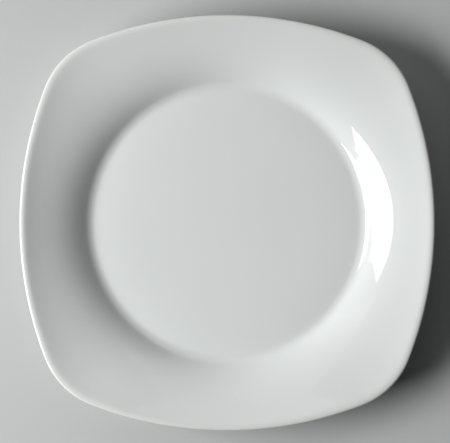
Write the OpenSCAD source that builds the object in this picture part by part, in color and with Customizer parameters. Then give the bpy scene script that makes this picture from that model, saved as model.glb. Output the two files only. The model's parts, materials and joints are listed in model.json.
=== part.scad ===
// Soft-square salad plate: a pressed porcelain body with a foot ring, and the glaze fired onto it.
// Millimetres. +Z is up, and the origin is on the table under the middle of the plate.
// The plate is a turned profile, pulled out from a round well to a square lip.

/* [Outline] */
// Width from the middle of one side to the middle of the opposite side
plate_w = 210; // [190:1:260]
// Radius of the slow bow along each side, seen from above
side_bow_r = 189; // [150:1:400]
// Radius of the rounded corners, seen from above
corner_r = 41; // [25:1:60]

/* [Well] */
// Diameter of the floor of the well
well_d = 135; // [110:1:144]
// Depth of the well, from the edge of its floor up to the top of the lip
well_depth = 16.5; // [10:0.1:24]
// How far the middle of the floor stands above its edge
crown_h = 0.6; // [0.2:0.1:1.2]
// Width of the band round the flat middle of the floor that falls to its edge
crown_band = 25; // [15:1:40]
// Radius of the curve that turns the floor up into the wall
well_fillet_r = 8.5; // [6:0.5:16]
// Slope of the wall at its steepest, in degrees
wall_angle = 39.5; // [20:0.5:45]

/* [Rim] */
// Slope of the rim at the lip, in the middle of a side, in degrees
rim_angle = 24; // [8:1:30]
// Thickness of the finished rim
rim_t = 3; // [2.6:0.1:5]
// How far the rounded edge of the lip stands out from the rim
lip_round = 3; // [1.5:0.1:5]

/* [Base] */
// Thickness of the finished plate under the well
floor_t = 4.2; // [3:0.1:6]
// Height of the foot ring
foot_h = 2.6; // [2:0.1:5]
// Width of the foot ring at the table
foot_w = 4.5; // [3:0.1:8]
// How far the foot ring stands in from the edge of the well's floor
foot_inset = 5; // [3:0.5:20]
// Slant of the foot ring's two walls, in degrees
foot_draft = 15; // [5:1:25]
// Radius of the foot ring's two lower edges
foot_edge_r = 0.9; // [0.4:0.1:1.2]

/* [Glaze] */
// Thickness of the fired glaze
glaze_t = 0.3; // [0.15:0.05:0.6]
// Height of the bare clay on the foot ring, where the glaze was wiped away
bare_foot_h = 1.3; // [1:0.1:1.6]

/* [Hidden] */

// Steps along each stretch of the outline and of the profile
side_steps = 12;
corner_steps = 6;
crown_steps = 5;
fillet_steps = 5;
rim_steps = 8;
lip_steps = 3;
foot_edge_steps = 4;
turned_fn = 144;

half_w = plate_w / 2;
well_r = well_d / 2;
floor_z = foot_h + floor_t;
plate_h = floor_z + well_depth;

// Where the wall leaves the fillet
wall_x = well_r + well_fillet_r * sin(wall_angle);
wall_z = floor_z + well_fillet_r * (1 - cos(wall_angle));

// The lip's section is half an ellipse, leaning with the rim, that just reaches the width and the height
rim_along = [cos(rim_angle), sin(rim_angle)];
rim_across = [-sin(rim_angle), cos(rim_angle)];
lip_out = [lip_round * cos(rim_angle), -rim_t / 2 * sin(rim_angle)];
lip_up = [lip_round * sin(rim_angle), rim_t / 2 * cos(rim_angle)];
lip_centre = [half_w - norm(lip_out), plate_h - norm(lip_up)];
lip_edge_angle = atan2(lip_out.y, lip_out.x);
lip_crest_angle = atan2(lip_up.y, lip_up.x);
rim_end = lip_centre + rim_t / 2 * rim_across;
rim_run = rim_end.x - wall_x;

// Foot ring, from its outer edge at the table to its middle and its root inside the body
foot_r = well_r - foot_inset;
foot_mid_r = foot_r - foot_w / 2;
foot_root = 1;
foot_top_z = foot_h + glaze_t + foot_root;
foot_edge_in = foot_edge_r * (1 - sin(foot_draft)) / cos(foot_draft);
foot_glaze_w = glaze_t / cos(foot_draft);

// Evenly spaced values from start to end, both included, and a list without its two ends
function stops(start, end, steps) = [for (i = [0:steps]) start + (end - start) * i / steps];
function between(list) = [for (i = [1:len(list) - 2]) list[i]];
function reversed(list) = [for (i = [len(list) - 1:-1:0]) list[i]];
function arc(centre, radius, angles) = [for (a = angles) centre + radius * [cos(a), sin(a)]];
function turned(p, a) = [p.x * cos(a) - p.y * sin(a), p.x * sin(a) + p.y * cos(a)];

// Plan outline: each side is an arc about a point past the middle, and each corner an arc on a diagonal
bow_offset = side_bow_r - half_w;
corner_offset = (sqrt(2 * pow(side_bow_r - corner_r, 2) - pow(bow_offset, 2)) - bow_offset) / 2;
side_turn = atan2(corner_offset, corner_offset + bow_offset);
quarter = concat(
    arc([-bow_offset, 0], side_bow_r, stops(-side_turn, side_turn, side_steps)),
    arc([corner_offset, corner_offset], corner_r, between(stops(side_turn, 90 - side_turn, corner_steps)))
);
outline = [for (turn = [0:90:270], p = quarter) turned(p, turn)];
rays = len(outline);

// The rim rises from the wall's slope to its own along one cubic curve
function rim_z(t) =
    wall_z * (1 - t) * (1 - t) * (1 + 2 * t)
    + rim_end.y * t * t * (3 - 2 * t)
    + rim_run * t * (1 - t) * ((1 - t) * tan(wall_angle) - t * tan(rim_angle));
function rim_slope(t) =
    6 * t * (1 - t) * (rim_end.y - wall_z) / rim_run
    + (1 - t) * (1 - 3 * t) * tan(wall_angle)
    + t * (3 * t - 2) * tan(rim_angle);

// The floor falls along a cubic curve from its flat middle to its edge, where the fillet takes over
function crown_z(t) = floor_z + crown_h * (1 - pow(t, 3));
function crown_slope(t) = -3 * t * t * crown_h / crown_band;

// Stations along the face, each with its radius, height and slope, and from the fillet on its thickness
crown_stations = [
    for (i = [0:crown_steps - 1]) let (t = i / crown_steps)
        [well_r - (1 - t) * crown_band, crown_z(t), atan(crown_slope(t))]
];
fillet_stations = [
    for (a = stops(0, wall_angle, fillet_steps))
        [well_r + well_fillet_r * sin(a), floor_z + well_fillet_r * (1 - cos(a)), a, floor_t]
];
rim_stations = [
    for (i = [1:rim_steps]) let (t = i / rim_steps)
        [wall_x + t * rim_run, rim_z(t), atan(rim_slope(t)), floor_t + t * (rim_t - floor_t)]
];
stations = concat(fillet_stations, rim_stations);

// Profiles a given depth inside the finished surface
function sunk(station, depth) = [
    station[0] + depth * sin(station[2]),
    station[1] - depth * cos(station[2])
];
function face(inset) = [for (s = concat(crown_stations, stations)) sunk(s, inset)];
function underside(inset) = [for (s = stations) sunk(s, s[3] - inset)];
lip_angles = concat(
    stops(lip_crest_angle, lip_edge_angle, lip_steps),
    between(stops(lip_edge_angle, -90, lip_steps))
);
function lip(inset) = [
    for (a = lip_angles)
        lip_centre + (lip_round - inset) * cos(a) * rim_along + (rim_t / 2 - inset) * sin(a) * rim_across
];
function section(inset) = concat(face(inset), lip(inset), reversed(underside(inset)));

// A ring is round at the wall, squares up along the rim and has the outline's shape at the lip
function squareness(r) =
    let (v = min(1, max(0, r - wall_x) / (half_w - wall_x)))
        1 - pow(1 - v * v, 1.5);
function ring(p) = [
    for (o = outline) let (reach = norm(o), r = p.x + squareness(p.x) * (reach - half_w))
        [r * o.x / reach, r * o.y / reach, p.y]
];

// Solid through one ring per profile point, closed by a flat disc at each end
module loft(profile) {
    last = len(profile) - 1;
    bands = [
        for (k = [0:last - 1], i = [0:rays - 1])
            let (a = k * rays + i, b = k * rays + (i + 1) % rays)
                each [[a, b, b + rays], [a, b + rays, a + rays]]
    ];
    top = [for (i = [rays - 1:-1:0]) i];
    bottom = [for (i = [0:rays - 1]) last * rays + i];
    polyhedron(points = [for (p = profile) each ring(p)], faces = concat([top], bands, [bottom]));
}

// How far a slanted foot wall has moved out at a height above the table
function foot_flare(z) = z * tan(foot_draft);

// Foot ring with slanted walls and rounded lower edges, rooted inside the body
module foot_ring() {
    inner_edge = [foot_r - foot_w + foot_edge_in, foot_edge_r];
    outer_edge = [foot_r - foot_edge_in, foot_edge_r];
    rotate_extrude($fn = turned_fn)
        polygon(concat(
            [[foot_r - foot_w - foot_flare(foot_top_z), foot_top_z]],
            arc(inner_edge, foot_edge_r, stops(180 + foot_draft, 270, foot_edge_steps)),
            arc(outer_edge, foot_edge_r, stops(-90, -foot_draft, foot_edge_steps)),
            [[foot_r + foot_flare(foot_top_z), foot_top_z]]
        ));
}

// Glaze on the foot ring's outer wall, from the wiped line up to the underside
module foot_collar() {
    collar_r = foot_r + foot_glaze_w;
    top_z = foot_h + glaze_t;
    rotate_extrude($fn = turned_fn)
        polygon([
            [foot_mid_r, bare_foot_h],
            [collar_r + foot_flare(bare_foot_h), bare_foot_h],
            [collar_r + foot_flare(top_z), top_z],
            [foot_mid_r, top_z]
        ]);
}

// Fired clay body, one piece with its foot ring
module porcelain_body() {
    color("#ece7dd") {
        loft(section(glaze_t));
        foot_ring();
    }
}

// Glaze over the face, the lip and the underside, down to the wiped line on the foot ring
module glaze_coat() {
    under_foot = [[foot_mid_r, foot_h], [foot_mid_r, foot_h + glaze_t]];
    color("#f3f4f3")
        difference() {
            union() {
                loft(concat(section(0), under_foot, reversed(section(glaze_t))));
                foot_collar();
            }
            foot_ring();
        }
}

// Glaze inside the foot ring, cut off from the rest by the bare clay
module recess_glaze() {
    recess_r = foot_r - foot_w - foot_glaze_w;
    color("#f1f2f1")
        difference() {
            rotate_extrude($fn = turned_fn)
                polygon([
                    [0, foot_h],
                    [recess_r - foot_flare(foot_h), foot_h],
                    [recess_r - foot_flare(bare_foot_h), bare_foot_h],
                    [foot_mid_r, bare_foot_h],
                    [foot_mid_r, foot_h + glaze_t],
                    [0, foot_h + glaze_t]
                ]);
            foot_ring();
        }
}

porcelain_body();
glaze_coat();
recess_glaze();
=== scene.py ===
# %% [markdown]
# # A soft-square salad plate in white porcelain
# The real plate is pressed from porcelain clay in one piece, foot ring and all, and dipped in a
# clear glaze that covers it everywhere but the narrow ring that it stands on. The measured part
# already has its solids and its sizes. This lesson gives it its looks: smooth meshes for the glaze
# and the clay, a finish for each, and the light of one window.

# %% Load the measured part
import json
import math

import bpy
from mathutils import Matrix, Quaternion, Vector


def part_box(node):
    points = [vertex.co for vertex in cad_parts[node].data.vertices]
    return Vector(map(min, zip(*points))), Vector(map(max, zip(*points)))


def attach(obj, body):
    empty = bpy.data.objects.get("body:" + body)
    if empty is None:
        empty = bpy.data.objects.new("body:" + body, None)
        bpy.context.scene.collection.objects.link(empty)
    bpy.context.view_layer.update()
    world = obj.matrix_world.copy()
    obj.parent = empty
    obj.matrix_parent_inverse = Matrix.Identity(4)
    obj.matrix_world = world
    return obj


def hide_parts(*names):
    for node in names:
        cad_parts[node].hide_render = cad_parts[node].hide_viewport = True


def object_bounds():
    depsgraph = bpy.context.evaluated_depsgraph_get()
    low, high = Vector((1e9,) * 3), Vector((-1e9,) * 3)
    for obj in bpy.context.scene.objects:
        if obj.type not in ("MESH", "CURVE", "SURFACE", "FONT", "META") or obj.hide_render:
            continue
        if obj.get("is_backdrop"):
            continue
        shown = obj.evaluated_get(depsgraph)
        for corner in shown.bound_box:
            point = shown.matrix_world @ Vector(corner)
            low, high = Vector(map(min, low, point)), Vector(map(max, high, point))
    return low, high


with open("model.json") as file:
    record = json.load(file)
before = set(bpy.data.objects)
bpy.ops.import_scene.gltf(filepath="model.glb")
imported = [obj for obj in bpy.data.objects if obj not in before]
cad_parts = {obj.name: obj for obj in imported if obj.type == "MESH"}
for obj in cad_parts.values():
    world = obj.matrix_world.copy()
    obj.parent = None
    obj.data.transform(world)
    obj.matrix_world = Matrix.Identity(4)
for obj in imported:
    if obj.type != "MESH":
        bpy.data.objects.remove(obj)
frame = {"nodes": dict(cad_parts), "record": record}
cad_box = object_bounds()
print("nodes:", sorted(frame["nodes"]))

# %% [markdown]
# ## Sizes from the part
# A potter starts from the outside of the plate: how wide, how high, and where the food sits. These
# could be typed in again, but the part holds them already, so they are read from it. Blender works
# in metres, and a plate is easier to think of in millimetres.

# %% Read the sizes
MM = 0.001
MOUNTS = {mount["name"]: Vector(mount["pos_m"]) for mount in frame["record"]["mounts"]}
HALF_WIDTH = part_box("glaze_coat")[1].x
LIP_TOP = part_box("glaze_coat")[1].z
FLOOR_TOP = MOUNTS["well_floor"].z
print(f"plate {2 * HALF_WIDTH / MM:.1f} mm wide, {LIP_TOP / MM:.1f} mm high")

# %% [markdown]
# ## The floor of the well
# A potter cuts a template of half the section before pressing a plate, and the next cells do the
# same. The floor looks flat, but flat clay sags in the kiln, so it is pressed with a slight crown: it
# is level in the middle and falls to its edge along a cubic curve. A flat disc would be simpler. The
# fall is what makes the floor lighter on the window's side and darker on the other.

# %% Crown the floor
WELL_RADIUS = 67.5 * MM
FLOOR_THICKNESS = 4.2 * MM
CROWN = 0.6 * MM
CROWN_BAND = 25 * MM
FLOOR_Z = FLOOR_TOP - CROWN


def on_crown(t):
    """Radius, height, slope and thickness on the floor, from its flat middle at 0 to its edge at 1."""
    rise = CROWN * (1 - t ** 3)
    slope = -3 * t * t * CROWN / CROWN_BAND
    return WELL_RADIUS - (1 - t) * CROWN_BAND, FLOOR_Z + rise, math.atan(slope), FLOOR_THICKNESS + rise


print(f"the floor falls {-math.degrees(on_crown(1)[2]):.1f} degrees at its edge")

# %% [markdown]
# ## The fillet of the well
# At its edge the floor turns up into the wall along a fillet. It could be a bevel on a sharp corner,
# but the section is worked out as points, so that the slope is known all the way up.

# %% Turn the floor up into the wall
WELL_FILLET = 8.5 * MM
WALL_ANGLE = math.radians(39.5)


def on_fillet(angle):
    """The same four values as on_crown gives, where the face has turned up by an angle."""
    radius = WELL_RADIUS + WELL_FILLET * math.sin(angle)
    return radius, FLOOR_Z + WELL_FILLET * (1 - math.cos(angle)), angle, FLOOR_THICKNESS


WALL_RADIUS, WALL_Z = on_fillet(WALL_ANGLE)[:2]
print(f"the wall starts {WALL_RADIUS / MM:.1f} mm out and {WALL_Z / MM:.1f} mm up")

# %% [markdown]
# ## The lip
# The lip is what the hand feels: half an ellipse that leans with the rim. Rounding a square edge
# with a bevel would give a half circle, and a sponged lip is softer than that. The ellipse just
# reaches the part's width on its outer side and the part's height at its crest.

# %% Lean the lip
RIM_ANGLE = math.radians(24)
RIM_THICKNESS = 3 * MM
LIP_ROUND = 3 * MM
ALONG_RIM = Vector((math.cos(RIM_ANGLE), math.sin(RIM_ANGLE)))
ACROSS_RIM = Vector((-math.sin(RIM_ANGLE), math.cos(RIM_ANGLE)))
LIP_OUT = Vector((LIP_ROUND * ALONG_RIM.x, RIM_THICKNESS / 2 * ACROSS_RIM.x))
LIP_UP = Vector((LIP_ROUND * ALONG_RIM.y, RIM_THICKNESS / 2 * ACROSS_RIM.y))
LIP_CENTRE = Vector((HALF_WIDTH - LIP_OUT.length, LIP_TOP - LIP_UP.length))
LIP_EDGE_ANGLE = math.atan2(LIP_OUT.y, LIP_OUT.x)


def on_lip(angle, inset):
    """The lip's point at an angle round its ellipse, an inset inside the finished surface."""
    along = (LIP_ROUND - inset) * math.cos(angle)
    across = (RIM_THICKNESS / 2 - inset) * math.sin(angle)
    return tuple(LIP_CENTRE + along * ALONG_RIM + across * ACROSS_RIM)


print(f"the lip is widest {on_lip(LIP_EDGE_ANGLE, 0)[1] / MM:.1f} mm above the table")

# %% [markdown]
# ## The rim
# From the wall to the lip the face is one slow curve with no corner in it. A straight cone would
# leave a crease at the wall, and on a gloss glaze a crease shows as a kink in every reflection. A
# cubic curve starts with the wall's slope, ends with the rim's, and its slope is easy to work out.

# %% Ease the wall into the rim
RIM_END = LIP_CENTRE + RIM_THICKNESS / 2 * ACROSS_RIM
RIM_RUN = RIM_END.x - WALL_RADIUS
WALL_RISE = math.tan(WALL_ANGLE)
RIM_RISE = math.tan(RIM_ANGLE)


def on_rim(t):
    """The same four values again, from the wall at 0 to the lip at 1."""
    ease = WALL_Z * (1 - t) ** 2 * (1 + 2 * t) + RIM_END.y * t * t * (3 - 2 * t)
    height = ease + RIM_RUN * t * (1 - t) * ((1 - t) * WALL_RISE - t * RIM_RISE)
    slope = (6 * t * (1 - t) * (RIM_END.y - WALL_Z) / RIM_RUN
             + (1 - t) * (1 - 3 * t) * WALL_RISE + t * (3 * t - 2) * RIM_RISE)
    thickness = FLOOR_THICKNESS + t * (RIM_THICKNESS - FLOOR_THICKNESS)
    return WALL_RADIUS + t * RIM_RUN, height, math.atan(slope), thickness


print(f"slope half way along the rim: {math.degrees(on_rim(0.5)[2]):.1f} degrees")

# %% [markdown]
# ## The points of the section
# The underside is the face again, one thickness lower, measured square to the face. Both are listed
# from the lip inwards, because that is the way the mesh will be drawn. An inset gives the same
# section a little inside the surface, which is where the clay lies under the glaze.

# %% List the points
RIM_RINGS = 10
FILLET_RINGS = 6
LIP_RINGS_ABOVE = 6
LIP_RINGS_BELOW = 5
CROWN_RINGS = 8
FLOOR_RINGS = [28 * MM, 14 * MM]


def steps(start, end, count):
    """Evenly spaced values from start to end, both included."""
    return [start + (end - start) * i / count for i in range(count + 1)]


STATIONS = ([on_rim(t) for t in steps(1, 0, RIM_RINGS)]
            + [on_fillet(angle) for angle in steps(WALL_ANGLE, 0, FILLET_RINGS)[1:]])
CROWN_STATIONS = [on_crown(t) for t in steps(1, 0, CROWN_RINGS)[1:]]


def sunk(station, depth):
    """The point a depth below a station of the face, square to the face."""
    radius, height, slope, _ = station
    return radius + depth * math.sin(slope), height - depth * math.cos(slope)


def face_points(inset):
    """Points of the face from just inside the lip's edge to the last ring of the floor."""
    lip = [on_lip(angle, inset) for angle in steps(LIP_EDGE_ANGLE, math.pi / 2, LIP_RINGS_ABOVE)[1:-1]]
    middle = [(radius, FLOOR_TOP - inset) for radius in FLOOR_RINGS]
    return lip + [sunk(station, inset) for station in STATIONS + CROWN_STATIONS] + middle


def under_points(inset):
    """Points of the underside from just inside the lip's edge to below the edge of the floor."""
    lip = [on_lip(angle, inset) for angle in steps(LIP_EDGE_ANGLE, -math.pi / 2, LIP_RINGS_BELOW)[1:-1]]
    return lip + [sunk(station, station[3] - inset) for station in STATIONS]


print("section points:", len(face_points(0)), "on the face,", len(under_points(0)), "below")

# %% [markdown]
# ## The outline from above
# Each side is a long, slow arc and each corner a short, tight one. A rounded square from a bevelled
# plane would have straight sides, so the arcs are spun instead: one vertex goes round the centre of
# each arc in turn. A quarter is enough. A spin that copies makes the other three, and merging the
# doubles closes the ring. A negative angle goes counter-clockwise here.

# %% Spin the outline
SIDE_BOW = 189 * MM
CORNER = 41 * MM
SIDE_STEPS = 8
CORNER_STEPS = 8
MERGE_WITHIN = 0.001 * MM
UP = (0, 0, 1)
BOW_OFFSET = SIDE_BOW - HALF_WIDTH
CORNER_OFFSET = (math.sqrt(2 * (SIDE_BOW - CORNER) ** 2 - BOW_OFFSET ** 2) - BOW_OFFSET) / 2
SIDE_TURN = math.atan2(CORNER_OFFSET, CORNER_OFFSET + BOW_OFFSET)
CORNER_TURN = math.pi / 2 - 2 * SIDE_TURN
QUARTER = [
    (SIDE_STEPS, SIDE_TURN, (-BOW_OFFSET, 0, 0)),
    (CORNER_STEPS, CORNER_TURN, (CORNER_OFFSET, CORNER_OFFSET, 0)),
    (SIDE_STEPS, SIDE_TURN, (0, -BOW_OFFSET, 0)),
]
MORE_QUARTERS = 3


def open_to_edit(name):
    """Name the active object and open it for editing with all of it selected."""
    bpy.context.object.name = name
    bpy.context.object.data.name = name
    bpy.ops.object.mode_set(mode="EDIT")
    bpy.ops.mesh.select_mode(type="VERT")
    bpy.ops.mesh.select_all(action="SELECT")


bpy.ops.object.select_all(action="DESELECT")
bpy.ops.mesh.primitive_plane_add(size=MM)
open_to_edit("outline")
bpy.ops.mesh.merge(type="CENTER")
bpy.ops.transform.translate(value=(HALF_WIDTH, 0, 0))
for arc_steps, turn, centre in QUARTER:
    bpy.ops.mesh.spin(steps=arc_steps, angle=-turn, center=centre, axis=UP)
bpy.ops.mesh.select_all(action="SELECT")
bpy.ops.mesh.spin(steps=MORE_QUARTERS, angle=-MORE_QUARTERS * math.pi / 2,
                  center=(0, 0, 0), axis=UP, dupli=True)
bpy.ops.mesh.select_all(action="SELECT")
bpy.ops.mesh.remove_doubles(threshold=MERGE_WITHIN)
bpy.ops.object.mode_set(mode="OBJECT")
outline = bpy.context.object
REACHES = [vertex.co.length for vertex in outline.data.vertices]
print(f"outline: {len(REACHES)} points, corner to corner {2 * max(REACHES) / MM:.1f} mm")

# %% [markdown]
# ## Rings that turn from square to round
# The lip is square and the well is round, so each ring on the way in is a little rounder than the
# last. Lofting two finished curves would leave the change to chance. Here every ring is the one
# before it, extruded, rounded with To Sphere, resized and lifted, and how square it is depends only
# on how far out it lies.

# %% Draw one ring from the last
OUTLINE_MEAN = sum(REACHES) / len(REACHES)
SQUARING_POWER = 1.5


def squareness(radius):
    """How much of the outline's shape a ring keeps: none at the wall, all at the lip."""
    reach = min(1.0, max(0.0, radius - WALL_RADIUS) / (HALF_WIDTH - WALL_RADIUS))
    return 1 - (1 - reach ** 2) ** SQUARING_POWER


def shape_ring(ring, radius, height):
    """Round, resize and lift the selected ring, and return what it has become."""
    square = squareness(radius)
    kept = square / ring["square"] if ring["square"] else radius / ring["radius"]
    mean = ring["radius"] + ring["square"] * (OUTLINE_MEAN - HALF_WIDTH)
    size = kept + (radius - kept * ring["radius"]) / mean
    centre = (0, 0, ring["height"])
    bpy.ops.transform.tosphere(value=max(0.0, 1 - kept / size), center_override=centre)
    bpy.ops.transform.resize(value=(size, size, 1), center_override=centre)
    bpy.ops.transform.translate(value=(0, 0, height - ring["height"]))
    return {"radius": radius, "height": height, "square": square}


def grow(ring, points):
    """Extrude the selected ring from point to point along a section."""
    for radius, height in points:
        bpy.ops.mesh.extrude_edges_move()
        ring = shape_ring(ring, radius, height)
    return ring


print(f"squareness half way along the rim: {squareness(on_rim(0.5)[0]):.2f}")

# %% [markdown]
# ## The foot ring's section
# The plate stands on a ring under the edge of the well. Its two walls slant so that the plate leaves
# its mould, its lower edges are rounded, and a small fillet joins it to the underside. It could be
# spun as a piece of its own, but on the real plate it is one with the body, so its points carry on
# from the underside's. The outer half is worked out, and the inner half is its mirror image.

# %% Work out the foot ring
FOOT_WIDTH = 4.5 * MM
FOOT_DRAFT = math.radians(15)
FOOT_EDGE = 0.9 * MM
FOOT_FILLET = 1.1 * MM
FOOT_RINGS = 4
FOOT_MIDDLE = MOUNTS["foot_face"].x
FOOT_OUTER = FOOT_MIDDLE + FOOT_WIDTH / 2


def foot_wall(height, skin):
    """Point on the foot's outer wall at a height, under a skin of glaze of this thickness."""
    return FOOT_OUTER + height * math.tan(FOOT_DRAFT) + skin / math.cos(FOOT_DRAFT), height


def foot_fillet(top, skin):
    """Points from the underside, at a height of top, round into the foot's outer wall."""
    radius = FOOT_FILLET - skin
    centre_z = top - radius
    centre_r = foot_wall(centre_z, skin + radius)[0]
    return [(centre_r + radius * math.cos(angle), centre_z + radius * math.sin(angle))
            for angle in steps(math.pi / 2, math.pi - FOOT_DRAFT, FOOT_RINGS)]


def foot_edge():
    """Points from the foot's outer wall round to its flat bearing face."""
    inward = FOOT_EDGE * (1 - math.sin(FOOT_DRAFT)) / math.cos(FOOT_DRAFT)
    return [(FOOT_OUTER - inward + FOOT_EDGE * math.cos(angle), FOOT_EDGE + FOOT_EDGE * math.sin(angle))
            for angle in steps(-FOOT_DRAFT, -math.pi / 2, FOOT_RINGS)]


def mirrored(points):
    """The same points on the inner half of the foot ring, in the order of going on inwards."""
    return [(2 * FOOT_MIDDLE - radius, height) for radius, height in reversed(points)]


print(f"foot ring: {2 * FOOT_OUTER / MM:.1f} mm across outside")

# %% [markdown]
# ## The face of the glaze coat
# The plate is dipped, so one skin of glaze runs over the face and round the lip. The CAD solid could
# stay, but its facets would break up the reflections. The skin is drawn anew as a sheet, from the
# lip's outermost ring in to the middle, where the last ring is merged to one point.

# %% Draw the face
def start_at_lip(name, inset):
    """Copy the outline, and make its ring the outermost ring of the lip."""
    bpy.ops.object.select_all(action="DESELECT")
    outline.select_set(True)
    bpy.context.view_layer.objects.active = outline
    bpy.ops.object.duplicate()
    open_to_edit(name)
    flat = {"radius": HALF_WIDTH, "height": 0.0, "square": 1.0}
    return shape_ring(flat, *on_lip(LIP_EDGE_ANGLE, inset))


def close_ring():
    """Extrude the selected ring once more and draw it to one point in the middle."""
    bpy.ops.mesh.extrude_edges_move()
    bpy.ops.mesh.merge(type="CENTER")


edge_ring = start_at_lip("plate_glaze", 0)
last_ring = grow(edge_ring, face_points(0))
close_ring()
print(f"face closed from a ring of {last_ring['radius'] / MM:.0f} mm radius")

# %% [markdown]
# ## The underside of the glaze coat
# Below, the same skin runs from the lip to the line where it was wiped off the foot. The sheet's
# open edge is still the lip's outermost ring, so the drawing goes on from there. Solidify then gives
# the skin its thickness, which keeps it even all over, and Subdivision rounds its edge at the wiped
# line, as melted glaze draws back.

# %% Draw the underside and thicken the skin
GLAZE = 0.3 * MM
BARE_FOOT = 1.3 * MM
UNDERSIDE_Z = FLOOR_Z - FLOOR_THICKNESS
SKIN = ("SOLIDIFY", {"thickness": GLAZE, "offset": -1, "use_even_offset": True})
SMOOTH = ("SUBSURF", {"levels": 1, "render_levels": 1})


def select_open_edge():
    """Select the edges that have a face on one side only."""
    bpy.ops.mesh.select_all(action="DESELECT")
    bpy.ops.mesh.select_non_manifold(use_wire=False, use_multi_face=False,
                                     use_non_contiguous=False, use_verts=False)


def finish_mesh(*modifiers):
    """Point the faces outwards, apply the modifiers and shade the piece smooth."""
    bpy.ops.mesh.select_all(action="SELECT")
    bpy.ops.mesh.normals_make_consistent(inside=False)
    bpy.ops.object.mode_set(mode="OBJECT")
    piece = bpy.context.object
    for kind, settings in modifiers:
        modifier = piece.modifiers.new(kind.title(), kind)
        for key, value in settings.items():
            setattr(modifier, key, value)
        bpy.ops.object.modifier_apply(modifier=modifier.name)
    bpy.ops.object.shade_smooth()
    print(f"{piece.name}: {len(piece.data.polygons)} faces")
    return piece


select_open_edge()
collar = foot_fillet(UNDERSIDE_Z, GLAZE) + [foot_wall(BARE_FOOT, GLAZE)]
grow(edge_ring, under_points(0) + collar)
plate_glaze = finish_mesh(SKIN, SMOOTH)

# %% [markdown]
# ## The clay body
# The body is the same plate, one thickness of glaze smaller, and it goes on round the foot ring and
# across the recess inside it. Only its bare foot can be seen, so a loose ring would do for a
# picture, but the whole solid is drawn, as the real one is. It stays a hair inside the glaze, so
# that the two never fight for the same place.

# %% Model the clay body
CLAY_GAP = 0.02 * MM
CLAY_INSET = GLAZE + CLAY_GAP
RECESS_RINGS = [46 * MM, 30 * MM, 14 * MM]
edge_ring = start_at_lip("plate_body", CLAY_INSET)
grow(edge_ring, face_points(CLAY_INSET))
close_ring()
select_open_edge()
outer_foot = foot_fillet(UNDERSIDE_Z + CLAY_INSET, -CLAY_GAP) + foot_edge()
recess_roof = [(radius, UNDERSIDE_Z + CLAY_INSET) for radius in RECESS_RINGS]
grow(edge_ring, under_points(CLAY_INSET) + outer_foot + mirrored(outer_foot) + recess_roof)
close_ring()
plate_body = finish_mesh(SMOOTH)

# %% [markdown]
# ## The glaze in the recess
# Inside the foot ring the glaze is an island of its own: a disc that turns down the ring's inner
# wall to its own wiped line. It could be cut from the coat, but all of it is round, so it starts
# from a circle at that line and grows inwards. The outline has then done its work and is deleted.

# %% Model the recess glaze
inner_collar = mirrored(collar)
line_radius, line_height = inner_collar[0]
bpy.ops.object.select_all(action="DESELECT")
bpy.ops.mesh.primitive_circle_add(vertices=len(REACHES), radius=line_radius,
                                  location=(0, 0, line_height))
bpy.ops.object.transform_apply(location=True, rotation=False, scale=False)
open_to_edit("recess_skin")
line_ring = {"radius": line_radius, "height": line_height, "square": 0.0}
grow(line_ring, inner_collar[1:] + [(radius, UNDERSIDE_Z) for radius in RECESS_RINGS])
close_ring()
recess_skin = finish_mesh(SKIN, SMOOTH)

bpy.ops.object.select_all(action="DESELECT")
outline.select_set(True)
bpy.ops.object.delete()

# %% [markdown]
# ## A palette for materials
# Every finish below is a small tree of nodes. The nodes could be placed by hand in the Shader
# Editor. In a script, one function that adds a node with its settings and links does for all of
# them. Colours are written as they look on a screen and turned to linear light, and patterns are
# written by their size on the plate.

# %% Lay out the palette
def linear(code):
    """Linear RGBA from an sRGB hex colour."""
    parts = [int(code[i:i + 2], 16) / 255 for i in (1, 3, 5)]
    return [p / 12.92 if p <= 0.04045 else ((p + 0.055) / 1.055) ** 2.4 for p in parts] + [1.0]


def per_metre(size_mm):
    """Texture scale at which a pattern repeats about every size_mm."""
    return 1 / (size_mm * MM)


def add_node(tree, kind, inputs=None, **settings):
    """Add a node with its settings; an input is a value, or an output to link from."""
    node = tree.nodes.new(kind)
    for key, value in settings.items():
        setattr(node, key, value)
    for key, value in (inputs or {}).items():
        if isinstance(value, bpy.types.NodeSocket):
            tree.links.new(value, node.inputs[key])
        else:
            node.inputs[key].default_value = value
    return node


def new_material(name):
    """An empty node material, with its tree and its Object coordinates."""
    material = bpy.data.materials.new(name)
    material.use_nodes = True
    tree = material.node_tree
    tree.nodes.clear()
    place = add_node(tree, "ShaderNodeTexCoord").outputs["Object"]
    return material, tree, place


print("mid grey in linear light:", round(linear("#808080")[0], 3))

# %% [markdown]
# ## Glazed porcelain: its colour
# Glazed porcelain is a skin of clear glass over white clay, and the clay gives it its colour: a
# bright white, faintly cool. One flat white would look like plastic, so two whites drift into each
# other in slow clouds, as they do in a fired body. The glaze runs thin off the lip, where the clay's
# warmth shows, and it holds a few specks.

# %% Colour the glaze
CLOUD_MM = 45
THIN_LIP = 0.7 * MM
LIP_WARMTH = 0.15
SPECK_SPACING_MM = 11
SPECK_CORE_MM = 0.2
SPECK_EDGE_MM = 0.33
SPECK_STRENGTH = 0.35
glaze, tree, place = new_material("glazed_white_porcelain")

# Clouds keep the wide, even floor from looking painted
cloud = add_node(tree, "ShaderNodeTexNoise", {
    "Vector": place, "Scale": per_metre(CLOUD_MM), "Detail": 2.0})
ground = add_node(tree, "ShaderNodeMix", {
    "Factor": cloud.outputs["Fac"], "A": linear("#DFE3E2"), "B": linear("#E4E7E6")},
    data_type="RGBA")

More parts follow.
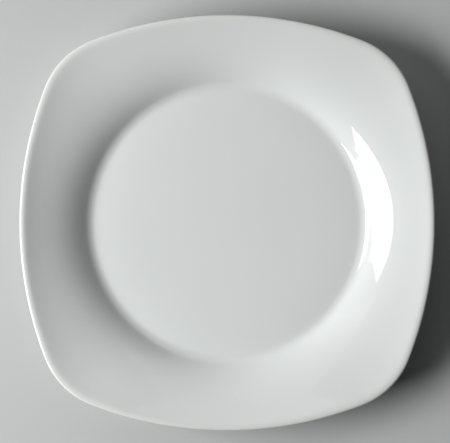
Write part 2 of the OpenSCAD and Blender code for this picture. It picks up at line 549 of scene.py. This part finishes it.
# A trace of cream along the crest of the lip draws its edge
axes = add_node(tree, "ShaderNodeSeparateXYZ", {"Vector": place})
thin = add_node(tree, "ShaderNodeMapRange", {
    "Value": axes.outputs["Z"], "From Min": LIP_TOP - THIN_LIP, "From Max": LIP_TOP,
    "To Max": LIP_WARMTH}, interpolation_type="SMOOTHSTEP")
lip_white = add_node(tree, "ShaderNodeMix", {
    "Factor": thin.outputs["Result"], "A": ground.outputs["Result"], "B": linear("#E8E1D5")},
    data_type="RGBA")

# Specks of ash, pale and far apart, tell the eye up close that this was fired in a kiln
specks = add_node(tree, "ShaderNodeTexVoronoi", {
    "Vector": place, "Scale": per_metre(SPECK_SPACING_MM)})
spot = add_node(tree, "ShaderNodeMapRange", {
    "Value": specks.outputs["Distance"], "From Min": SPECK_CORE_MM / SPECK_SPACING_MM,
    "From Max": SPECK_EDGE_MM / SPECK_SPACING_MM, "To Min": SPECK_STRENGTH, "To Max": 0.0})
glaze_colour = add_node(tree, "ShaderNodeMix", {
    "Factor": spot.outputs["Result"], "A": lip_white.outputs["Result"], "B": linear("#B9B4AA")},
    data_type="RGBA")
print("coloured", glaze.name)

# %% [markdown]
# ## Glazed porcelain: its surface
# Glaze melts and sets like glass, so it has glass's IOR of about 1.5 and almost no roughness, and it
# mirrors the window sharply. It is never quite level: it keeps a slow swell from the way it ran, and
# a fine skin like orange peel. They are only hundredths of a millimetre high, so they could not be
# seen as geometry. Bump is enough, because it bends the reflections.

# %% Melt the glaze
SWELL_MM = 28
SWELL_HEIGHT = 0.05 * MM
PEEL_MM = 3
PEEL_HEIGHT = 0.002 * MM
HAZE_MM = 14

# The swell lets long reflections waver a little
swell = add_node(tree, "ShaderNodeTexNoise", {
    "Vector": place, "Scale": per_metre(SWELL_MM), "Detail": 1.0})
swell_bump = add_node(tree, "ShaderNodeBump", {
    "Height": swell.outputs["Fac"], "Strength": 1.0, "Distance": SWELL_HEIGHT})

# Real peel is about 1 mm from dimple to dimple; it is drawn coarser, or no picture would show it
peel = add_node(tree, "ShaderNodeTexNoise", {
    "Vector": place, "Scale": per_metre(PEEL_MM), "Detail": 1.0})
peel_bump = add_node(tree, "ShaderNodeBump", {
    "Height": peel.outputs["Fac"], "Strength": 1.0, "Distance": PEEL_HEIGHT,
    "Normal": swell_bump.outputs["Normal"]})

# Handling and washing leave the gloss a touch uneven
haze = add_node(tree, "ShaderNodeTexNoise", {
    "Vector": place, "Scale": per_metre(HAZE_MM), "Detail": 3.0})
gloss = add_node(tree, "ShaderNodeMapRange", {
    "Value": haze.outputs["Fac"], "To Min": 0.02, "To Max": 0.04})

glass = add_node(tree, "ShaderNodeBsdfPrincipled", {
    "Base Color": glaze_colour.outputs["Result"], "Roughness": gloss.outputs["Result"], "IOR": 1.5,
    "Normal": peel_bump.outputs["Normal"]})
add_node(tree, "ShaderNodeOutputMaterial", {"Surface": glass.outputs["BSDF"]})
print("mixed", glaze.name, "from", len(tree.nodes), "nodes")

# %% [markdown]
# ## Bare porcelain: its colour
# Where the glaze was wiped off, the fired clay shows: matte, a little warm, and fine as chalk. It
# could share the glaze's nodes with the gloss turned off, but then it would have no grain of its
# own, so it gets its own short tree. Two near whites, mixed by a fine noise, are enough for the grit.

# %% Colour the clay
GRIT_MM = 0.6
clay, tree, place = new_material("bare_fired_porcelain")

# Real grit is under 0.1 mm; it is drawn coarser so that the foot looks dry beside the glaze
grit = add_node(tree, "ShaderNodeTexNoise", {
    "Vector": place, "Scale": per_metre(GRIT_MM), "Detail": 4.0})
dry_clay = add_node(tree, "ShaderNodeMix", {
    "Factor": grit.outputs["Fac"], "A": linear("#DED9CF"), "B": linear("#E9E5DD")},
    data_type="RGBA")
print("coloured", clay.name)

# %% [markdown]
# ## Bare porcelain: the ground ring
# The foot is ground flat on a turning wheel, so fine marks run round it. The marks could be cut into
# the mesh, but they are only hundredths of a millimetre deep. One Wave texture, in rings about the
# plate's axis, gives both their depth, as bump, and painted shade, which greys the clay in the grooves.

# %% Grind the foot
MARK_SPACING_MM = 0.8
MARK_HEIGHT = 0.03 * MM
WAVES_AT_SCALE_ONE = 20 / (2 * math.pi)
GROOVE_SHADE = 0.3
WEAR = 0.3
WORN_EDGE = 0.4 * MM
GRIT_HEIGHT = 0.03 * MM

# Real marks are about 0.1 mm apart; they are drawn coarser so that the ring looks ground
wheel_marks = add_node(tree, "ShaderNodeTexWave", {
    "Vector": place, "Scale": per_metre(MARK_SPACING_MM) / WAVES_AT_SCALE_ONE, "Distortion": 0.8,
    "Detail": 2.0}, wave_type="RINGS", rings_direction="Z")
# Painted shade: the clay is greyed where the marks are lowest, in the grooves
groove_shade = add_node(tree, "ShaderNodeMapRange", {
    "Value": wheel_marks.outputs["Fac"], "To Min": GROOVE_SHADE, "To Max": 0.0})
ground_clay = add_node(tree, "ShaderNodeMix", {
    "Factor": groove_shade.outputs["Result"], "A": dry_clay.outputs["Result"], "B": linear("#C8C2B7")},
    data_type="RGBA")

# The last bit above the table is greyed by wear
axes = add_node(tree, "ShaderNodeSeparateXYZ", {"Vector": place})
worn = add_node(tree, "ShaderNodeMapRange", {
    "Value": axes.outputs["Z"], "From Max": WORN_EDGE, "To Min": WEAR, "To Max": 0.0})
clay_colour = add_node(tree, "ShaderNodeMix", {
    "Factor": worn.outputs["Result"], "A": ground_clay.outputs["Result"], "B": linear("#C4BFB5")},
    data_type="RGBA")

# Marks and grit break up the light, so the ring shows no reflection at all
marks = add_node(tree, "ShaderNodeBump", {
    "Height": wheel_marks.outputs["Fac"], "Strength": 1.0, "Distance": MARK_HEIGHT})
grain = add_node(tree, "ShaderNodeBump", {
    "Height": grit.outputs["Fac"], "Strength": 0.8, "Distance": GRIT_HEIGHT,
    "Normal": marks.outputs["Normal"]})
matte = add_node(tree, "ShaderNodeBsdfPrincipled", {
    "Base Color": clay_colour.outputs["Result"], "Roughness": 0.78, "IOR": 1.5,
    "Normal": grain.outputs["Normal"]})
add_node(tree, "ShaderNodeOutputMaterial", {"Surface": matte.outputs["BSDF"]})
print("mixed", clay.name, "from", len(tree.nodes), "nodes")

# %% [markdown]
# ## Put the pieces on the part
# Each modelled piece stands for one solid of the measured part, takes its finish, and rides on the
# plate's one body. The solids could carry the finishes themselves, but the smooth meshes show no
# facets, and the solids stay behind them for collision.

# %% Dress the part
DRESS = [
    (plate_glaze, "glaze_coat", "glaze", glaze),
    (plate_body, "porcelain_body", "porcelain", clay),
    (recess_skin, "recess_glaze", "glaze", glaze),
]
for piece, node_name, slot_name, finish in DRESS:
    piece.data.materials.clear()
    piece.data.materials.append(finish)
    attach(piece, "root")
    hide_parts(node_name)
    print(piece.name, "stands for", node_name)

# %% [markdown]
# ## The floor
# The plate stands on plain backdrop paper. White paper would swallow the white lip, so the paper is a
# pale grey. It is matte, with a mottle as faint as its pulp, and hardly any sheen, so that it stays
# quiet at a low angle too.

# %% Lay the floor
FLOOR_SIZE = 12.0
MOTTLE_MM = 60
paper, tree, place = new_material("matte_backdrop_paper")

# The mottle keeps so wide a sheet from looking like a flat tint
mottle = add_node(tree, "ShaderNodeTexNoise", {
    "Vector": place, "Scale": per_metre(MOTTLE_MM), "Detail": 3.0})
paper_colour = add_node(tree, "ShaderNodeMix", {
    "Factor": mottle.outputs["Fac"], "A": linear("#C5C7C7"), "B": linear("#C9CACA")},
    data_type="RGBA")
sheet = add_node(tree, "ShaderNodeBsdfPrincipled", {
    "Base Color": paper_colour.outputs["Result"], "Roughness": 0.9, "Specular IOR Level": 0.1})
add_node(tree, "ShaderNodeOutputMaterial", {"Surface": sheet.outputs["BSDF"]})

bpy.ops.object.select_all(action="DESELECT")
bpy.ops.mesh.primitive_plane_add(size=FLOOR_SIZE)
floor = bpy.context.object
floor.name = "floor"
floor.data.materials.append(paper)
floor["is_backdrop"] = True
print(f"floor {FLOOR_SIZE:.0f} m across")

# %% [markdown]
# ## The room
# What stands round a plate shows in its glaze. A picture of a real room could be wrapped round the
# scene, but for a plain plate plain pale walls are enough. The camera and the reflections see them.
# They give almost no light of their own, so the lamps alone shade the plate.

# %% Paint the room
AMBIENT = 0.002
BACKGROUND = 0.4
world = bpy.data.worlds.new("plain_studio")
bpy.context.scene.world = world
world.use_nodes = True
room = world.node_tree
room.nodes.clear()
rays = add_node(room, "ShaderNodeLightPath")
seen = add_node(room, "ShaderNodeMath", {
    0: rays.outputs["Is Camera Ray"], 1: rays.outputs["Is Glossy Ray"]}, operation="MAXIMUM")
seen_through = add_node(room, "ShaderNodeMath", {
    0: seen.outputs["Value"], 1: rays.outputs["Is Transmission Ray"]}, operation="MAXIMUM")
strength = add_node(room, "ShaderNodeMapRange", {
    "Value": seen_through.outputs["Value"], "To Min": AMBIENT, "To Max": BACKGROUND})
walls = add_node(room, "ShaderNodeBackground", {
    "Color": linear("#FFFFFF"), "Strength": strength.outputs["Result"]})
add_node(room, "ShaderNodeOutputWorld", {"Surface": walls.outputs["Background"]})
print("walls are seen at", BACKGROUND, "and light the plate at", AMBIENT)

# %% [markdown]
# ## A window and a white wall
# The light is a window to the left, low enough to rake the well: it leaves the near wall dark and
# lights the far one, and its reflection is the crescent in the turn of the well. A small round lamp
# would only leave a dot there, so the window is a rectangle of its real size. Its bright sill is a
# second lamp that leans, and it splits the crescent's two ends. Slats over both, as in a studio grid,
# keep their light off the floor beside them. A big white wall sends some of the light back, so soft
# and wide that it shows no reflection of its own.

# %% Hang the lamps
WINDOW_DISTANCE = 1.15
WALL_DISTANCE = 2.2
SLATS = math.radians(100)
BARE = math.radians(180)


def hang_lamp(name, azimuth, height_angle, lean, distance, size, power, spread):
    """An area lamp that faces the plate from a direction in degrees, leaning about its own axis."""
    light = bpy.data.lights.new(name, "AREA")
    light.shape = "RECTANGLE"
    light.size, light.size_y = size
    light.energy = power
    light.spread = spread
    turn, rise = math.radians(azimuth), math.radians(height_angle)
    level = math.cos(rise)
    towards = Vector((level * math.cos(turn), level * math.sin(turn), math.sin(rise)))
    lamp = bpy.data.objects.new(name, light)
    lamp.location = distance * towards
    facing = (-towards).to_track_quat("-Z", "Y")
    lamp.rotation_euler = (facing @ Quaternion(UP, math.radians(lean))).to_euler()
    bpy.context.scene.collection.objects.link(lamp)
    print(name, "at", [round(c, 2) for c in lamp.location])


hang_lamp("window", azimuth=187.7, height_angle=38.1, lean=-0.5,
          distance=WINDOW_DISTANCE, size=(0.83, 0.39), power=4.28, spread=SLATS)
hang_lamp("window_sill", azimuth=185.8, height_angle=26.1, lean=-15,
          distance=WINDOW_DISTANCE, size=(0.755, 0.22), power=1.21, spread=SLATS)
hang_lamp("white_wall", azimuth=104.5, height_angle=34, lean=0,
          distance=WALL_DISTANCE, size=(3.0, 2.4), power=13.3, spread=BARE)

# %% [markdown]
# ## The camera
# The plate is seen from straight above, through a long lens, with its middle a hair off the middle of
# the picture. Shift could move it there, but every other view would keep the shift, so the camera
# itself moves. The picture is 450 by 443 pixels, and the focal length is the one at which the plate's
# widest ring covers its share of them.

# %% Set the camera
CAMERA_HEIGHT = 1.1
SENSOR_MM = 36
PICTURE_WIDE = 450
PICTURE_HIGH = 443
PLATE_PIXELS = 416
PLATE_MIDDLE = (227.2, 222.8)

scene = bpy.context.scene
metres_per_pixel = 2 * HALF_WIDTH / PLATE_PIXELS
widest_z = on_lip(LIP_EDGE_ANGLE, 0)[1]
camera = bpy.data.cameras.new("overhead")
camera.sensor_width = SENSOR_MM
camera.lens = SENSOR_MM * (CAMERA_HEIGHT - widest_z) / (PICTURE_WIDE * metres_per_pixel)
eye = bpy.data.objects.new("overhead", camera)
scene.collection.objects.link(eye)
eye.location = ((PICTURE_WIDE / 2 - PLATE_MIDDLE[0]) * metres_per_pixel,
                (PLATE_MIDDLE[1] - PICTURE_HIGH / 2) * metres_per_pixel, CAMERA_HEIGHT)
scene.camera = eye
scene.view_settings.view_transform = "Standard"
print(f"lens {camera.lens:.0f} mm at {CAMERA_HEIGHT} m")

# %% [markdown]
# ## The size, measured and dressed
# The looks never change the part's size. That could be judged by eye, but numbers are surer, so the
# measured box and the dressed box are printed side by side.

# %% Finish
for state, box in (("measured", cad_box), ("dressed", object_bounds())):
    print(state, [round((high - low) / MM, 2) for low, high in zip(*box)], "mm")
